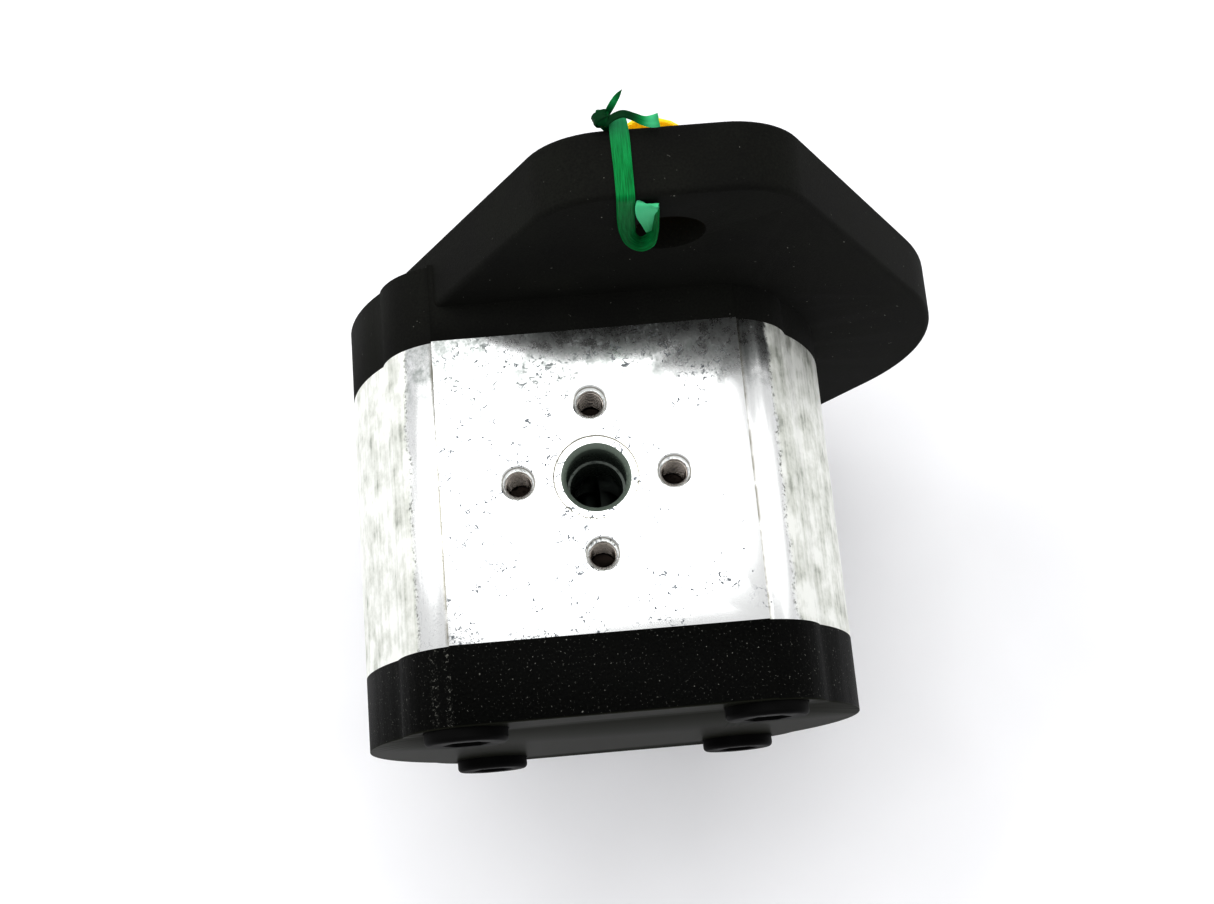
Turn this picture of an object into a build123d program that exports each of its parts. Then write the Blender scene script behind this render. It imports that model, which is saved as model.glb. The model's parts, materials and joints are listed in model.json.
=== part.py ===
from build123d import *
import os
from math import acos, asin, atan2, cos, hypot, pi, sin, tan

# Flange-mounted external gear pump, in millimetres.
# The drive shaft lies along Y and points to +Y. The origin is on its axis, at the flange's mounting face.
# +X points away from the driven gear, and +Z points out of the outlet port.

# gears
tooth_count = 10
gear_module = 3.2
pressure_angle = 27.0       # degrees
addendum_factor = 0.95
root_clearance = 0.6
backlash = 0.16
gear_width = 22.0
tip_clearance = 0.10        # tooth tip to housing bore
side_clearance = 0.05       # gear face to bearing block, and block to cover or flange
involute_steps = 7

# shafts
journal_radius = 9.525
shaft_reach = 41.0          # beyond the mounting face
shaft_chamfer = 1.2
shaft_lead_length = 6.0     # reduced tip that guides a coupling on
shaft_lead_step = 0.525     # on the radius
journal_chamfer = 0.8
journal_end_gap = 0.8       # journal end to the block's outer face
key_width = 4.76
key_length = 19.0
key_start = 14.5            # from the mounting face
key_fit = 0.02
key_chamfer = 0.4

# bearing blocks and bushes
block_fit = 0.05
bush_wall = 1.5
bush_running_fit = 0.04
bush_seat_fit = 0.02
bush_inset = 0.1            # bush ends below the block's faces
relief_width = 6.0
relief_height = 8.0
relief_depth = 2.0
relief_overlap = 2.0        # how far each pocket starts inside the journals' radius

# seals in the outer faces of the bearing blocks
pressure_seal_overlap = 0.4  # how far each lobe passes the middle, where the two join
pressure_seal_width = 2.4
backup_ring_width = 1.1
block_groove_depth = 2.0
seal_fit = 0.05
seal_arm_height = 3.0       # how far the seal's two outer ends pass the mid-plane

# face seals between the housing and its end castings
body_seal_gap = 2.0         # gear bore to groove
body_seal_width = 2.4
body_seal_groove_depth = 1.6

# housing
housing_length = 60.0
half_depth = 45.0           # port face to mid-plane
pad_half_width = 30.0
half_width = 51.3
flank_radius = 55.0
corner_radius = 17.0
corner_x = 24.6
corner_z = 27.9

# cover screws
screw_x = 28.6              # from the housing's centre line
screw_z = 35.4
screw_radius = 5.0
screw_head_radius = 8.0
screw_head_height = 10.0
screw_head_round = 0.9
screw_tip_chamfer = 0.8
screw_socket_across = 8.0
screw_socket_depth = 5.0
screw_hole_gap = 0.5
screw_engagement = 13.0
screw_thread_fit = 0.03
head_pocket_depth = 7.5
head_pocket_fit = 0.2
tapped_end_gap = 1.0

# dowel pins
dowel_radius = 3.0
dowel_half_length = 6.0
dowel_fit = 0.02
dowel_chamfer = 0.5
dowel_x = 43.2              # from the housing's centre line

# rear cover
cover_thickness = 15.0

# mounting flange
flange_thickness = 20.0
plate_thickness = 13.0
boss_length = 16.0
flange_half_length = 90.0
flange_side_radius = 61.2
flange_corner_radius = 15.6
flange_corner_x = 10.5
plate_edge = 1.2
bolt_half_spacing = 73.0
bolt_hole_radius = 7.15
pilot_radius = 50.8
pilot_height = 9.7
pilot_chamfer = 1.5
shaft_hole_gap = 1.2

# shaft seal
seal_section = 6.475        # from the shaft to the seal's seat
seal_width = 7.0
seal_seat_depth = 0.5       # seat of the seal, behind the mounting face
seal_shell = 2.0
seal_back = 1.2
seal_leg_reach = 1.275      # from the shaft to the leg that carries the lip
seal_leg_wall = 1.4
seal_lip_gap = 0.05
seal_lip_land = 0.2         # half the flat of the lip's edge
seal_lip_slope = 1.6        # lip to the end of its bevel
seal_leg_gap = 0.25         # leg above the seat
spring_wire = 0.7
ring_thickness = 1.5
ring_groove_depth = 1.2
ring_band = 3.4
ring_gap_angle = 40.0
ring_ear_radius = 2.2
ring_ear_hole = 0.8
ring_ear_turn = 9.0         # degrees from the gap to each ear's centre

# ports
port_ring_depth = 0.25      # shallow faced ring round each port
outlet_ring_radius = 8.15
outlet_entry_radius = 6.75
outlet_radius = 5.8
outlet_depth = 10.0
outlet_throat_radius = 5.2
outlet_bolt_circle = 15.0
outlet_bolt_radius = 2.5
outlet_bolt_mouth = 3.5
inlet_ring_radius = 12.6
inlet_entry_radius = 11.0
inlet_radius = 10.0
inlet_depth = 14.0
inlet_throat_radius = 9.0
inlet_bolt_circle = 20.0
inlet_bolt_radius = 3.4
inlet_bolt_mouth = 4.5
port_bolt_depth = 13.0

# tie ribbon through one flange hole, its knot and its blank tag
ribbon_width = 3.2
ribbon_thickness = 0.3
ribbon_gap = 0.1
ribbon_x = -7.6
ribbon_return_x = -1.6
ribbon_drop = 3.0           # centre of the hanging turn below the bolt hole's axis
knot_radius = 1.8
knot_side = 1.1             # knot's centre beside the ribbon's edge
knot_front = 0.36           # knot's centre in front of the mounting face
tail_length = 8.0
tail_width = 2.56
tail_rise = 1.26            # flat tail above the knot's centre
tail_lean = 8.0             # degrees below level, and the turn about Z
tail_turn = 12.0
upright_lean = 62.0         # degrees above level, and the turn about Z
upright_turn = 25.0
tag_width = 20.0
tag_length = 34.0
tag_thickness = 0.6
tag_x = -3.95
tag_corner = 6.0
tag_gap = 1.2               # from the mounting face
tag_drop = 0.3              # below the flange's end

# places that follow from the sizes above
pitch_radius = gear_module * tooth_count / 2
centre_x = -pitch_radius
driven_x = -2 * pitch_radius
base_radius = pitch_radius * cos(pressure_angle * pi / 180)
tip_radius = pitch_radius + addendum_factor * gear_module
root_radius = pitch_radius * 2 - tip_radius - root_clearance
bore_radius = tip_radius + tip_clearance
housing_front = -flange_thickness
housing_rear = housing_front - housing_length
housing_middle = (housing_front + housing_rear) / 2
cover_rear = housing_rear - cover_thickness
gear_front = housing_middle + gear_width / 2
gear_rear = housing_middle - gear_width / 2
plate_rear = -plate_thickness
boss_front = -flange_thickness + boss_length
bush_outer = journal_radius + bush_running_fit + bush_wall
screw_hole_radius = screw_radius + screw_hole_gap
seal_outer_radius = journal_radius + seal_section
seal_leg_inner = journal_radius + seal_leg_reach
seal_leg_outer = seal_leg_inner + seal_leg_wall
seal_front = seal_width - seal_seat_depth
body_seal_inner = bore_radius + body_seal_gap
pressure_seal_radius = pitch_radius + pressure_seal_overlap - pressure_seal_width
backup_inner = pressure_seal_radius + pressure_seal_width + seal_fit
gear_axes = (0.0, driven_x)


def section(y):
    """Drawing plane square to the shaft at y: its own x is X and its own y is Z."""
    return Plane(origin=(0, y, 0), x_dir=(1, 0, 0), z_dir=(0, -1, 0))


def prism(sketch, front, rear):
    return extrude(section(front) * sketch, amount=front - rear)


def disc(radius, x=0.0, z=0.0):
    return Pos(x, z) * Circle(radius)


def rod(radius, front, rear, x=0.0, z=0.0):
    return prism(disc(radius, x, z), front, rear)


def at_screws():
    return [(centre_x + sx * screw_x, sz * screw_z) for sx in (-1, 1) for sz in (-1, 1)]


def at_dowels():
    return [(centre_x + side * dowel_x, 0.0) for side in (-1, 1)]


def housing_outline():
    """Flat port pads, four rounded corners round the screws and two bowed flanks."""
    flank_centre = half_width - flank_radius
    flanks = disc(flank_radius, flank_centre) & disc(flank_radius, -flank_centre)
    flanks &= Rectangle(2 * half_width, 2 * screw_z)
    outline = flanks + Rectangle(2 * pad_half_width, 2 * half_depth)
    for sx in (-1, 1):
        for sz in (-1, 1):
            outline += disc(corner_radius, sx * corner_x, sz * corner_z)
    return Pos(centre_x, 0) * outline


def twin_discs(radius):
    return disc(radius, 0.0) + disc(radius, driven_x)


def racetrack(radius):
    return disc(radius, 0.0) + disc(radius, driven_x) + Pos(centre_x, 0) * Rectangle(-driven_x, 2 * radius)


def lobed_band(inner, width):
    """Three-shaped band round both bushes, open on the outlet side."""
    band = twin_discs(inner + width) - twin_discs(inner)
    reach = 4 * (inner + width)
    low_side = Pos(centre_x, seal_arm_height - reach / 2) * Rectangle(2 * reach, reach)
    return band & low_side


def polar(radius, angle):
    return (radius * cos(angle), radius * sin(angle))


def involute_angle(radius):
    """Angle from a tooth's centre line to its flank, at this radius."""
    def involute(angle):
        return tan(angle) - angle

    at_pitch = pi / (2 * tooth_count) - backlash / (4 * pitch_radius)
    return at_pitch + involute(acos(base_radius / pitch_radius)) - involute(acos(base_radius / radius))


def gear_outline(x, turn):
    """Involute gear centred at x, with a tooth centred at the angle turn (radians)."""
    step = (tip_radius - base_radius) / involute_steps
    radii = [base_radius + step * i for i in range(involute_steps + 1)]
    half_angles = [involute_angle(r) for r in radii]
    pitch = 2 * pi / tooth_count
    foot = half_angles[0]
    edges = []
    for tooth in range(tooth_count):
        middle = turn + tooth * pitch
        rising = [polar(r, middle - a) for r, a in zip(radii, half_angles)]
        falling = [polar(r, middle + a) for r, a in zip(reversed(radii), reversed(half_angles))]
        next_foot = middle + pitch - foot
        edges += [
            Line(polar(root_radius, middle - foot), rising[0]),
            Spline(*rising),
            ThreePointArc(rising[-1], polar(tip_radius, middle), falling[0]),
            Spline(*falling),
            Line(falling[-1], polar(root_radius, middle + foot)),
            ThreePointArc(
                polar(root_radius, middle + foot),
                polar(root_radius, middle + pitch / 2),
                polar(root_radius, next_foot),
            ),
        ]
    return Pos(x, 0) * make_face(edges)


def chamfer_ends(body, chamfer_front, chamfer_rear):
    ends = body.edges().filter_by(GeomType.CIRCLE).sort_by(Axis.Y)
    body = chamfer(ends[-1], chamfer_front)
    ends = body.edges().filter_by(GeomType.CIRCLE).sort_by(Axis.Y)
    return chamfer(ends[0], chamfer_rear)


def make_drive_gear_shaft():
    journal_rear = housing_rear + journal_end_gap
    lead_start = shaft_reach - shaft_lead_length
    shaft = rod(journal_radius, lead_start, journal_rear, 0.0)
    shaft += rod(journal_radius - shaft_lead_step, shaft_reach, lead_start, 0.0)
    shaft = chamfer_ends(shaft, shaft_chamfer, journal_chamfer)
    shaft += prism(gear_outline(0.0, 0.0), gear_front, gear_rear)
    keyway_top = Pos(0, key_start + key_length / 2, journal_radius)
    keyway = Box(key_width + 2 * key_fit, key_length + 2 * key_fit, key_width)
    return shaft - keyway_top * keyway


def make_driven_gear_shaft():
    journal_front = housing_front - journal_end_gap
    journal_rear = housing_rear + journal_end_gap
    shaft = rod(journal_radius, journal_front, journal_rear, driven_x)
    shaft = chamfer_ends(shaft, journal_chamfer, journal_chamfer)
    half_pitch = pi / tooth_count
    return shaft + prism(gear_outline(driven_x, half_pitch), gear_front, gear_rear)


def make_shaft_key():
    key = Box(key_width, key_length, key_width - key_fit)
    key = chamfer(key.edges().filter_by(Axis.Y).group_by(Axis.Z)[-1], key_chamfer)
    return Pos(0, key_start + key_length / 2, journal_radius + key_fit / 2) * key


def countersink(side, radius, mouth, sunk=0.0):
    """Cone about the origin's Z axis, from mouth down to radius, starting sunk below the port face."""
    lead = mouth - radius
    cone = Cone(radius, mouth, lead) if side > 0 else Cone(mouth, radius, lead)
    return Pos(0, 0, side * (half_depth - sunk - lead / 2)) * cone


def port_cut(side, ring, entry, radius, depth, throat):
    """Stepped round port from the pad into the gear chamber, on the side +1 or -1 of Z."""
    face = Plane(origin=(centre_x, housing_middle, side * half_depth), z_dir=(0, 0, -side))
    throat_end = half_depth - bore_radius / 2
    cut = extrude(face * Circle(ring), amount=port_ring_depth)
    cut += Pos(centre_x, housing_middle) * countersink(side, radius, entry, port_ring_depth)
    cut += extrude(face * Circle(radius), amount=depth)
    return cut + extrude(face * Circle(throat), amount=throat_end)


def port_screw_cuts(side, bolt_circle, radius, mouth):
    cuts = []
    for turn in range(4):
        x = centre_x + bolt_circle * cos(turn * pi / 2)
        y = housing_middle + bolt_circle * sin(turn * pi / 2)
        face = Plane(origin=(x, y, side * half_depth), z_dir=(0, 0, -side))
        cuts.append(extrude(face * Circle(radius), amount=port_bolt_depth))
        cuts.append(Pos(x, y) * countersink(side, radius, mouth))
    return cuts


def make_gear_housing():
    housing = prism(housing_outline(), housing_front, housing_rear)
    housing -= prism(twin_discs(bore_radius), housing_front, housing_rear)
    for x, z in at_screws():
        housing -= rod(screw_hole_radius, housing_front, housing_rear, x, z)
    for x, z in at_dowels():
        hole = dowel_radius + dowel_fit
        depth = dowel_half_length + tapped_end_gap
        housing -= rod(hole, housing_front, housing_front - depth, x, z)
        housing -= rod(hole, housing_rear + depth, housing_rear, x, z)
    housing -= port_cut(
        1, outlet_ring_radius, outlet_entry_radius, outlet_radius, outlet_depth, outlet_throat_radius
    )
    housing -= port_cut(
        -1, inlet_ring_radius, inlet_entry_radius, inlet_radius, inlet_depth, inlet_throat_radius
    )
    for cut in port_screw_cuts(1, outlet_bolt_circle, outlet_bolt_radius, outlet_bolt_mouth):
        housing -= cut
    for cut in port_screw_cuts(-1, inlet_bolt_circle, inlet_bolt_radius, inlet_bolt_mouth):
        housing -= cut
    return housing


def body_seal_groove(face, side):
    """Groove for the face seal, cut from the face towards side (+1 or -1 along Y)."""
    inner = racetrack(body_seal_inner)
    outer = racetrack(body_seal_inner + body_seal_width + 2 * seal_fit)
    front = max(face, face + side * body_seal_groove_depth)
    return prism(outer - inner, front, front - body_seal_groove_depth)


def make_body_seal(face, side):
    inner = racetrack(body_seal_inner + seal_fit)
    outer = racetrack(body_seal_inner + seal_fit + body_seal_width)
    front = max(face, face + side * body_seal_groove_depth) - seal_fit
    return prism(outer - inner, front, front - body_seal_groove_depth + 2 * seal_fit)


def flange_outline():
    """Two round-cornered bolt ends joined by straight sides that run tangent to the round middle."""
    corner_x = flange_corner_x
    corner_z = flange_half_length - flange_corner_radius
    between = acos((flange_side_radius - flange_corner_radius) / hypot(corner_x, corner_z))
    touch = atan2(corner_z, corner_x) - between
    halfway = (touch + pi / 2) / 2
    side = polar(flange_side_radius, touch)
    edges = []
    for sx in (-1, 1):
        edges.append(
            ThreePointArc(
                (sx * side[0], side[1]),
                (sx * flange_side_radius, 0),
                (sx * side[0], -side[1]),
            )
        )
        for sz in (-1, 1):
            corner = [polar(flange_corner_radius, angle) for angle in (touch, halfway, pi / 2)]
            start, middle, end = [(sx * (corner_x + dx), sz * (corner_z + dz)) for dx, dz in corner]
            edges.append(Line((sx * side[0], sz * side[1]), start))
            edges.append(ThreePointArc(start, middle, end))
    for sz in (-1, 1):
        edges.append(Line((-corner_x, sz * flange_half_length), (corner_x, sz * flange_half_length)))
    return make_face(edges)


def make_mounting_flange():
    plate = prism(flange_outline(), 0, plate_rear)
    plate = fillet(plate.faces().sort_by(Axis.Y)[0].edges(), plate_edge)
    plate = fillet(plate.faces().sort_by(Axis.Y)[-1].edges(), plate_edge)
    boss = prism(housing_outline(), boss_front, housing_front)
    pilot = rod(pilot_radius, pilot_height, plate_rear)
    pilot = chamfer(pilot.edges().filter_by(GeomType.CIRCLE).sort_by(Axis.Y)[-1], pilot_chamfer)
    flange = plate + boss + pilot
    flange -= rod(journal_radius + shaft_hole_gap, pilot_height, housing_front)
    flange -= rod(seal_outer_radius, pilot_height, -seal_seat_depth)
    groove_front = seal_front + ring_thickness + 3 * seal_fit
    flange -= rod(seal_outer_radius + ring_groove_depth, groove_front, seal_front + seal_fit)
    for z in (-bolt_half_spacing, bolt_half_spacing):
        flange -= rod(bolt_hole_radius, 0, plate_rear, 0.0, z)
    for x, z in at_screws():
        depth = screw_engagement + tapped_end_gap
        flange -= rod(screw_radius + screw_thread_fit, housing_front + depth, housing_front, x, z)
    for x, z in at_dowels():
        depth = dowel_half_length + tapped_end_gap
        flange -= rod(dowel_radius + dowel_fit, housing_front + depth, housing_front, x, z)
    return flange - body_seal_groove(housing_front, 1)


def make_rear_cover():
    cover = prism(housing_outline(), housing_rear, cover_rear)
    for x, z in at_screws():
        cover -= rod(screw_hole_radius, housing_rear, cover_rear, x, z)
        cover -= rod(screw_head_radius + head_pocket_fit, cover_rear + head_pocket_depth, cover_rear, x, z)
    for x, z in at_dowels():
        depth = dowel_half_length + tapped_end_gap
        cover -= rod(dowel_radius + dowel_fit, housing_rear, housing_rear - depth, x, z)
    return cover - body_seal_groove(housing_rear, -1)


def make_bearing_block(outer_face, inner_face):
    """Twin-bored block that floats in the gear bores; its seal grooves are in the outer face."""
    front = max(outer_face, inner_face)
    rear = min(outer_face, inner_face)
    inward = 1 if inner_face > outer_face else -1
    block = prism(twin_discs(bore_radius - block_fit), front, rear)
    for x in gear_axes:
        block -= rod(bush_outer + bush_seat_fit, front, rear, x)
    groove_width = pressure_seal_width + backup_ring_width + 3 * seal_fit
    groove = lobed_band(pressure_seal_radius - seal_fit, groove_width)
    groove_end = outer_face + inward * block_groove_depth
    block -= prism(groove, max(outer_face, groove_end), min(outer_face, groove_end))
    relief_end = inner_face - inward * relief_depth
    relief_z = journal_radius + relief_height / 2 - relief_overlap
    for side in (-1, 1):
        pocket = Pos(centre_x, side * relief_z) * Rectangle(relief_width, relief_height)
        block -= prism(pocket, max(inner_face, relief_end), min(inner_face, relief_end))
    return block


def make_bush(front, rear, x):
    ring = disc(bush_outer, x) - disc(journal_radius + bush_running_fit, x)
    return prism(ring, front, rear)


def make_groove_ring(inner, width, outer_face, inward):
    start = outer_face + inward * seal_fit
    end = outer_face + inward * (block_groove_depth - seal_fit)
    return prism(lobed_band(inner, width), max(start, end), min(start, end))


def make_shaft_seal():
    """Radial lip seal: a shell, a back wall and a leg that carries the lip."""
    rear = -seal_seat_depth + seal_fit
    front = seal_front
    shell_outer = seal_outer_radius - seal_fit
    shell_inner = shell_outer - seal_shell
    lip = journal_radius + seal_lip_gap
    lip_y = rear + seal_lip_slope
    points = [
        (shell_outer, rear),
        (shell_outer, front),
        (seal_leg_inner, front),
        (seal_leg_inner, lip_y + seal_lip_slope),
        (lip, lip_y + seal_lip_land),
        (lip, lip_y - seal_lip_land),
        (seal_leg_inner, rear + seal_leg_gap),
        (seal_leg_outer, rear + seal_leg_gap),
        (seal_leg_outer, front - seal_back),
        (shell_inner, front - seal_back),
        (shell_inner, rear),
    ]
    return revolve(make_face(Polyline(*points, close=True)), Axis.Y)


def make_garter_spring():
    centre = seal_leg_outer + seal_fit + spring_wire
    rear = -seal_seat_depth + seal_fit
    return revolve(Pos(centre, rear + seal_lip_slope) * Circle(spring_wire), Axis.Y)


def make_retaining_ring():
    outer = seal_outer_radius + ring_groove_depth - seal_fit
    rear = seal_front + 2 * seal_fit
    band = disc(outer) - disc(outer - ring_band)
    half_gap = ring_gap_angle / 2 * pi / 180
    reach = 2 * outer
    rise = reach * tan(half_gap)
    band -= make_face(Polyline((0, 0), (reach, rise), (reach, -rise), close=True))
    for side in (-1, 1):
        x, z = polar(outer - ring_band, side * (half_gap + ring_ear_turn * pi / 180))
        band += disc(ring_ear_radius, x, z) & disc(outer)
        band -= disc(ring_ear_hole, x, z)
    return prism(band, rear + ring_thickness, rear)


def make_dowel_pins(joint_face):
    pins = []
    for x, z in at_dowels():
        front = joint_face + dowel_half_length
        rear = joint_face - dowel_half_length
        pin = rod(dowel_radius, front, rear, x, z)
        pins.append(chamfer(pin.edges().filter_by(GeomType.CIRCLE), dowel_chamfer))
    return Compound(children=pins)


def make_cover_screws():
    seat = cover_rear + head_pocket_depth
    head_end = seat - screw_head_height
    tip = housing_front + screw_engagement
    screws = []
    for x, z in at_screws():
        head = rod(screw_head_radius, seat, head_end, x, z)
        head = fillet(head.edges().filter_by(GeomType.CIRCLE).sort_by(Axis.Y)[0], screw_head_round)
        socket = Pos(x, z) * RegularPolygon(screw_socket_across / 2, 6, major_radius=False)
        head -= prism(socket, head_end + screw_socket_depth, head_end)
        shank = rod(screw_radius, tip, seat, x, z)
        shank = chamfer(shank.edges().filter_by(GeomType.CIRCLE).sort_by(Axis.Y)[-1], screw_tip_chamfer)
        screws.append(head + shank)
    return Compound(children=screws)


def strip(x, low, high):
    return Pos(x, (low + high) / 2) * Rectangle(ribbon_width, high - low)


def make_tie_ribbon():
    """Flat ribbon tied round the flange's end: over the rim, down the rear face, through the hole."""
    rim = flange_half_length + ribbon_gap
    top = rim + ribbon_thickness
    back_front = plate_rear - ribbon_gap
    back_rear = back_front - ribbon_thickness
    face_rear = ribbon_gap
    face_front = face_rear + ribbon_thickness
    turn_z = bolt_half_spacing - ribbon_drop
    turn_x = (ribbon_x + ribbon_return_x) / 2
    turn_radius = (ribbon_return_x - ribbon_x) / 2
    hole_outer = bolt_hole_radius - ribbon_gap
    hole_inner = hole_outer - ribbon_thickness

    half = ribbon_width / 2
    over_rim = prism(strip(ribbon_x, rim, top), face_front, back_rear)
    turn_reach = turn_radius + half
    turn = disc(turn_reach, turn_x, turn_z) - disc(turn_radius - half, turn_x, turn_z)
    turn &= Pos(turn_x, turn_z - turn_reach) * Rectangle(4 * turn_reach, 2 * turn_reach)
    lift = asin(ribbon_return_x / hole_inner)
    hole_top = bolt_half_spacing + hole_inner * cos(lift)
    back = strip(ribbon_x, turn_z, top) + turn + strip(ribbon_return_x, turn_z, hole_top)
    wall = disc(hole_outer, 0.0, bolt_half_spacing) - disc(hole_inner, 0.0, bolt_half_spacing)
    wall &= strip(ribbon_return_x, bolt_half_spacing, bolt_half_spacing + bolt_hole_radius)
    rise = make_face(
        Polyline(
            (ribbon_return_x - half, hole_top - half),
            (ribbon_return_x + half, hole_top - half),
            (ribbon_x + half, top),
            (ribbon_x - half, top),
            close=True,
        )
    )
    loop = over_rim + prism(back + wall, back_front, back_rear)
    loop += prism(wall, face_front, back_rear)
    return loop + prism(rise + wall, face_front, face_rear)


def make_ribbon_knot():
    """Knot in front of the rim with its two free tails."""
    rim = flange_half_length + ribbon_gap + ribbon_thickness
    knot_x = ribbon_x - ribbon_width / 2 - knot_side
    centre = Pos(knot_x, knot_front, rim + ribbon_gap + knot_radius)
    knot = centre * Sphere(knot_radius)
    tail = Box(tail_length, tail_width, ribbon_thickness)
    lean = Rot(0, tail_lean, tail_turn) * (Pos(tail_length / 2, 0, tail_rise) * tail)
    upright = Rot(0, -upright_lean, upright_turn) * (Pos(tail_length / 2, 0, 0) * tail)
    return knot + centre * lean + centre * upright


def make_name_tag():
    high = flange_half_length - tag_drop
    half = tag_width / 2
    outline = make_face(
        Polyline(
            (tag_x - half, high - tag_length),
            (tag_x + half, high - tag_length),
            (tag_x + half, high - tag_corner),
            (tag_x + half - tag_corner, high),
            (tag_x - half + tag_corner, high),
            (tag_x - half, high - tag_corner),
            close=True,
        )
    )
    return prism(outline, tag_gap + tag_thickness, tag_gap)


def make_parts():
    front_outer = housing_front - side_clearance
    front_inner = gear_front + side_clearance
    rear_outer = housing_rear + side_clearance
    rear_inner = gear_rear - side_clearance
    parts = {
        "gear_housing": make_gear_housing(),
        "mounting_flange": make_mounting_flange(),
        "rear_cover": make_rear_cover(),
        "drive_gear_shaft": make_drive_gear_shaft(),
        "driven_gear_shaft": make_driven_gear_shaft(),
        "shaft_key": make_shaft_key(),
        "front_bearing_block": make_bearing_block(front_outer, front_inner),
        "rear_bearing_block": make_bearing_block(rear_outer, rear_inner),
    }
    for name, x in (("drive", 0.0), ("driven", driven_x)):
        parts[f"front_{name}_bush"] = make_bush(front_outer - bush_inset, front_inner + bush_inset, x)
        parts[f"rear_{name}_bush"] = make_bush(rear_inner - bush_inset, rear_outer + bush_inset, x)
    for end, face, inward in (("front", front_outer, -1), ("rear", rear_outer, 1)):
        seal = make_groove_ring(pressure_seal_radius, pressure_seal_width, face, inward)
        parts[f"{end}_pressure_seal"] = seal
        parts[f"{end}_backup_ring"] = make_groove_ring(backup_inner, backup_ring_width, face, inward)
    parts["front_body_seal"] = make_body_seal(housing_front, 1)
    parts["rear_body_seal"] = make_body_seal(housing_rear, -1)
    parts["shaft_seal"] = make_shaft_seal()
    parts["shaft_seal_spring"] = make_garter_spring()
    parts["seal_retaining_ring"] = make_retaining_ring()
    parts["front_dowel_pins"] = make_dowel_pins(housing_front)
    parts["rear_dowel_pins"] = make_dowel_pins(housing_rear)
    parts["cover_screws"] = make_cover_screws()
    parts["tie_ribbon"] = make_tie_ribbon()
    parts["ribbon_knot"] = make_ribbon_knot()
    parts["name_tag"] = make_name_tag()
    return parts


os.makedirs("parts", exist_ok=True)
for name, shape in make_parts().items():
    export_step(shape, f"parts/{name}.step")
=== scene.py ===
import json
import math
import random
import bpy
import bmesh
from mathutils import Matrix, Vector


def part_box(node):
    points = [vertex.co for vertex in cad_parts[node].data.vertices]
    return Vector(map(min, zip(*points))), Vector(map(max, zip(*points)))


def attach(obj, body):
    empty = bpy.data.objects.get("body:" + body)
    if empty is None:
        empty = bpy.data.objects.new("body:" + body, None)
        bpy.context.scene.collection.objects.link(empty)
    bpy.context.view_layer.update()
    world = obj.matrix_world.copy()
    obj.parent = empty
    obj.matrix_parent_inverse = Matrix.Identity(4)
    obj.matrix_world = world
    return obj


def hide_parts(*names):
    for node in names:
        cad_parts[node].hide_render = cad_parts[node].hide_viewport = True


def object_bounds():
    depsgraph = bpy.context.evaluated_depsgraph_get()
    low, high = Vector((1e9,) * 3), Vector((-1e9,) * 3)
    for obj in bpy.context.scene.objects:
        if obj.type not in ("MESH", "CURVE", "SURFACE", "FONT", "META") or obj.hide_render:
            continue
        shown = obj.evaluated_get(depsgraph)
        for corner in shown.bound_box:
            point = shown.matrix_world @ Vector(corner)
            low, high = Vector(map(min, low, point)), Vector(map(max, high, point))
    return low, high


# Hydraulic gear pump over a pale table. Everything is in metres; mm turns millimetres into them.
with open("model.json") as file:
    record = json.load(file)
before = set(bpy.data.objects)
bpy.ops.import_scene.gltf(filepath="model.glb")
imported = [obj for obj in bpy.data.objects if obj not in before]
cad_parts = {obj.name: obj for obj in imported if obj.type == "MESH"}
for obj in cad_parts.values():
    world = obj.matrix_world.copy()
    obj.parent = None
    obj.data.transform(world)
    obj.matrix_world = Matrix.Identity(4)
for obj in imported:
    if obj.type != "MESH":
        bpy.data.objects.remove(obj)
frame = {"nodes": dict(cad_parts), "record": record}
cadLow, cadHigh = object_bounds()
mm = 0.001
scene = bpy.context.scene
nodes = frame["nodes"]
mounts = {m["name"]: m for m in frame["record"]["mounts"]}
housingLow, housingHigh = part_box("gear_housing")
flangeLow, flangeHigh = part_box("mounting_flange")
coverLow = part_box("rear_cover")[0]
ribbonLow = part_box("tie_ribbon")[0]
tagLow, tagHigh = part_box("name_tag")
bodyCentre = (housingLow + housingHigh) / 2
print("frame loaded:", len(nodes), "nodes")


def linear(hexColour):
    # sRGB hex to the linear values that shaders mix in
    parts = [int(hexColour[i:i + 2], 16) / 255 for i in (1, 3, 5)]
    return [p / 12.92 if p <= 0.04045 else ((p + 0.055) / 1.055) ** 2.4 for p in parts] + [1.0]


def perMm(size):
    # noise scale that gives features of this size in millimetres
    return 1000 / size


def addNode(tree, kind, settings=None, links=None):
    # one node with its settings (properties, sockets or ramp stops) and its incoming links,
    # each from a socket or from a node's first output
    node = tree.nodes.new("ShaderNode" + kind)
    for key, value in (settings or {}).items():
        if key == "stops":
            ramp = node.color_ramp
            while len(ramp.elements) < len(value):
                ramp.elements.new(0.5)
            for element, (place, colour) in zip(ramp.elements, value):
                element.position = place
                element.color = linear(colour)
        elif isinstance(key, str) and hasattr(node, key):
            setattr(node, key, value)
        else:
            node.inputs[key].default_value = value
    for key, source in (links or {}).items():
        socket = source.outputs[0] if isinstance(source, bpy.types.Node) else source
        tree.links.new(socket, node.inputs[key])
    return node


def newMaterial(name):
    material = bpy.data.materials.new(name)
    material.use_nodes = True
    tree = material.node_tree
    tree.nodes.clear()
    place = addNode(tree, "TexCoord").outputs["Object"]
    return material, tree, place


def finishMaterial(tree, settings, links):
    shader = addNode(tree, "BsdfPrincipled", settings, links)
    addNode(tree, "OutputMaterial", {}, {"Surface": shader})


def paint(material, *names):
    # hands one material to CAD nodes
    for name in names:
        nodes[name].data.materials.clear()
        nodes[name].data.materials.append(material)


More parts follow.
